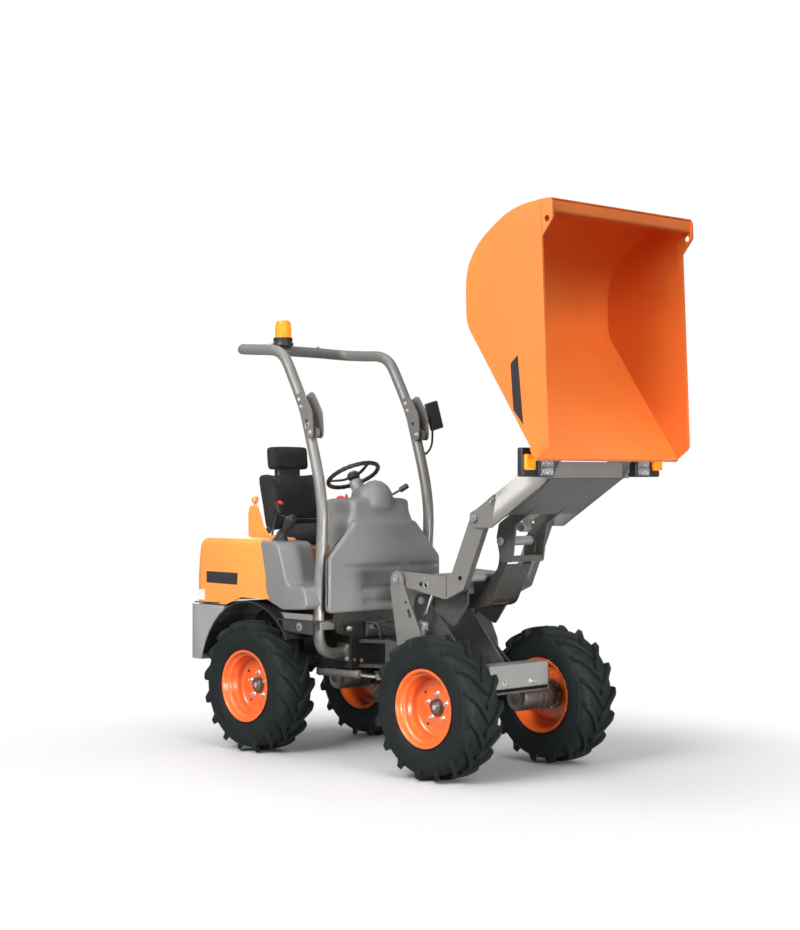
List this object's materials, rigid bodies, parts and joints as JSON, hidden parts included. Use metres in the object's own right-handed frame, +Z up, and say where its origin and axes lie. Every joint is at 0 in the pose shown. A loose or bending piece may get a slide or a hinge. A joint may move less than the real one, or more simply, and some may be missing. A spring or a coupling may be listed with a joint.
{
  "type": "site dumper",
  "caption": "Articulated wheeled site dumper with a high-lift tipping skip, folding roll bar and driver's seat.",
  "frame": {"origin": "on the ground, under the middle of the bounding box", "axes": "+X forward, +Y to the driver's left, +Z up"},
  "size_m": [3.0866, 1.174, 3.0201],
  "materials": {
    "orange_paint": "semi-gloss paint",
    "grey_paint": "semi-gloss paint",
    "dark_paint": "satin paint",
    "weight_paint": "painted cast iron",
    "grey_plastic": "moulded, matt",
    "black_plastic": "moulded, matt",
    "tyre_rubber": "tyre rubber",
    "rim_paint": "gloss paint",
    "chrome": "hard chrome",
    "vinyl": "seat vinyl",
    "amber_lens": "clear amber"
  },
  "bodies": {
    "root": {"rear_frame": "dark_paint", "counterweight": "weight_paint", "engine": "dark_paint", "rear_axle": "dark_paint", "mudguard_left": "black_plastic", "mudguard_right": "black_plastic", "side_panel_left": "grey_plastic", "side_panel_right": "grey_plastic", "front_cowl": "grey_plastic", "dash": "grey_plastic", "seat_base": "orange_paint", "seat_cushion": "vinyl", "seat_back": "vinyl", "headrest": "vinyl", "joystick": "black_plastic", "roll_bar_post_left": "grey_paint", "roll_bar_post_right": "grey_paint", "mirror": "black_plastic"},
    "hood": {"hood": "orange_paint"},
    "roll_bar": {"roll_bar_hoop": "grey_paint", "beacon": "amber_lens"},
    "steering_wheel": {"steering_wheel": "black_plastic"},
    "rear_left_wheel": {"tyre_rear_left": "tyre_rubber", "rim_rear_left": "rim_paint"},
    "rear_right_wheel": {"tyre_rear_right": "tyre_rubber", "rim_rear_right": "rim_paint"},
    "steer_barrel": {"steer_barrel": "dark_paint"},
    "steer_rod": {"steer_rod": "chrome"},
    "front_chassis": {"front_frame": "dark_paint", "front_axle": "dark_paint"},
    "front_left_wheel": {"tyre_front_left": "tyre_rubber", "rim_front_left": "rim_paint"},
    "front_right_wheel": {"tyre_front_right": "tyre_rubber", "rim_front_right": "rim_paint"},
    "lift_barrel_left": {"lift_left_barrel": "dark_paint"},
    "lift_rod_left": {"lift_left_rod": "chrome"},
    "lift_barrel_right": {"lift_right_barrel": "dark_paint"},
    "lift_rod_right": {"lift_right_rod": "chrome"},
    "lift_arms": {"lift_arms": "grey_paint"},
    "lift_link": {"lift_link": "dark_paint"},
    "lift_frame": {"lift_frame": "dark_paint", "lamp_left": "black_plastic", "lamp_right": "black_plastic", "indicator_left": "amber_lens", "indicator_right": "amber_lens"},
    "tip_barrel": {"tip_barrel": "dark_paint"},
    "tip_rod": {"tip_rod": "chrome"},
    "skip": {"skip": "orange_paint"}
  },
  "joints": [
    {"name": "articulation", "type": "hinge", "parent": "root", "child": "front_chassis", "pos_m": [-0.1333, 0, 0.5925], "axis": [0, 0, 1], "range_deg": [-35, 35]},
    {"name": "lift", "type": "hinge", "parent": "front_chassis", "child": "lift_arms", "pos_m": [0.1257, 0, 1.05], "axis": [0, 1, 0], "range_deg": [0, 44]},
    {"name": "tip", "type": "hinge", "parent": "lift_frame", "child": "skip", "pos_m": [1.31661, 0, 1.74987], "axis": [0, -1, 0], "range_deg": [0, 85.5]},
    {"name": "hood_lid", "type": "hinge", "parent": "root", "child": "hood", "pos_m": [-1.3953, 0, 0.908], "axis": [0, -1, 0], "range_deg": [0, 70]},
    {"name": "roll_bar_fold", "type": "hinge", "parent": "root", "child": "roll_bar", "pos_m": [-0.4173, 0, 1.881], "axis": [0, 1, 0], "range_deg": [0, 150]},
    {"name": "steering_wheel_turn", "type": "hinge", "parent": "root", "child": "steering_wheel", "pos_m": [-0.5633, 0, 1.635], "axis": [-0.4695, 0, 0.8829], "continuous": true},
    {"name": "lift_link_turn", "type": "hinge", "parent": "front_chassis", "child": "lift_link", "pos_m": [0.1707, 0, 0.924], "axis": [0, 1, 0], "range_deg": [0, 44]},
    {"name": "lift_frame_turn", "type": "hinge", "parent": "lift_arms", "child": "lift_frame", "pos_m": [0.73661, 0, 1.39987], "axis": [0, 1, 0], "range_deg": [-44, 0]},
    {"name": "lift_barrel_right_turn", "type": "hinge", "parent": "front_chassis", "child": "lift_barrel_right", "pos_m": [0.1137, -0.202, 0.5], "axis": [0, 1, 0], "range_deg": [-4, 4]},
    {"name": "lift_rod_right_slide", "type": "slide", "parent": "lift_barrel_right", "child": "lift_rod_right", "axis": [0.4016, 0, 0.9158], "range_m": [-0.17, 0]},
    {"name": "front_right_wheel_roll", "type": "hinge", "parent": "front_chassis", "child": "front_right_wheel", "pos_m": [0.6167, -0.462, 0.387], "axis": [0, 1, 0], "continuous": true},
    {"name": "rear_right_wheel_roll", "type": "hinge", "parent": "root", "child": "rear_right_wheel", "pos_m": [-0.8903, -0.462, 0.387], "axis": [0, 1, 0], "continuous": true},
    {"name": "lift_barrel_left_turn", "type": "hinge", "parent": "front_chassis", "child": "lift_barrel_left", "pos_m": [0.1137, 0.202, 0.5], "axis": [0, 1, 0], "range_deg": [-4, 4]},
    {"name": "lift_rod_left_slide", "type": "slide", "parent": "lift_barrel_left", "child": "lift_rod_left", "axis": [0.4016, 0, 0.9158], "range_m": [-0.17, 0]},
    {"name": "front_left_wheel_roll", "type": "hinge", "parent": "front_chassis", "child": "front_left_wheel", "pos_m": [0.6167, 0.462, 0.387], "axis": [0, 1, 0], "continuous": true},
    {"name": "rear_left_wheel_roll", "type": "hinge", "parent": "root", "child": "rear_left_wheel", "pos_m": [-0.8903, 0.462, 0.387], "axis": [0, 1, 0], "continuous": true},
    {"name": "tip_barrel_turn", "type": "hinge", "parent": "lift_frame", "child": "tip_barrel", "pos_m": [0.82661, 0, 1.34987], "axis": [0, -1, 0], "range_deg": [-10, 2]},
    {"name": "tip_rod_slide", "type": "slide", "parent": "tip_barrel", "child": "tip_rod", "axis": [0.5685, 0, 0.8227], "range_m": [-0.262, 0]},
    {"name": "steer_barrel_turn", "type": "hinge", "parent": "root", "child": "steer_barrel", "pos_m": [-0.5833, -0.24, 0.475], "axis": [0, 0, 1], "range_deg": [-6, 6]},
    {"name": "steer_rod_slide", "type": "slide", "parent": "steer_barrel", "child": "steer_rod", "axis": [0.9964, 0.0848, 0], "range_m": [-0.12, 0.12]}
  ],
  "couplings": [
    {"joint": "lift_link_turn", "follows": "lift", "ratio": 1},
    {"joint": "lift_frame_turn", "follows": "lift", "ratio": -1},
    {"joint": "lift_barrel_right_turn", "follows": "lift", "ratio": -0.056933},
    {"joint": "lift_rod_right_slide", "follows": "lift", "m_per_rad": -0.21099},
    {"joint": "lift_barrel_left_turn", "follows": "lift", "ratio": -0.056933},
    {"joint": "lift_rod_left_slide", "follows": "lift", "m_per_rad": -0.21099},
    {"joint": "tip_barrel_turn", "follows": "tip", "ratio": -0.10387},
    {"joint": "tip_rod_slide", "follows": "tip", "m_per_rad": -0.17154},
    {"joint": "steer_barrel_turn", "follows": "articulation", "ratio": -0.026396},
    {"joint": "steer_rod_slide", "follows": "articulation", "m_per_rad": 0.18834}
  ]
}
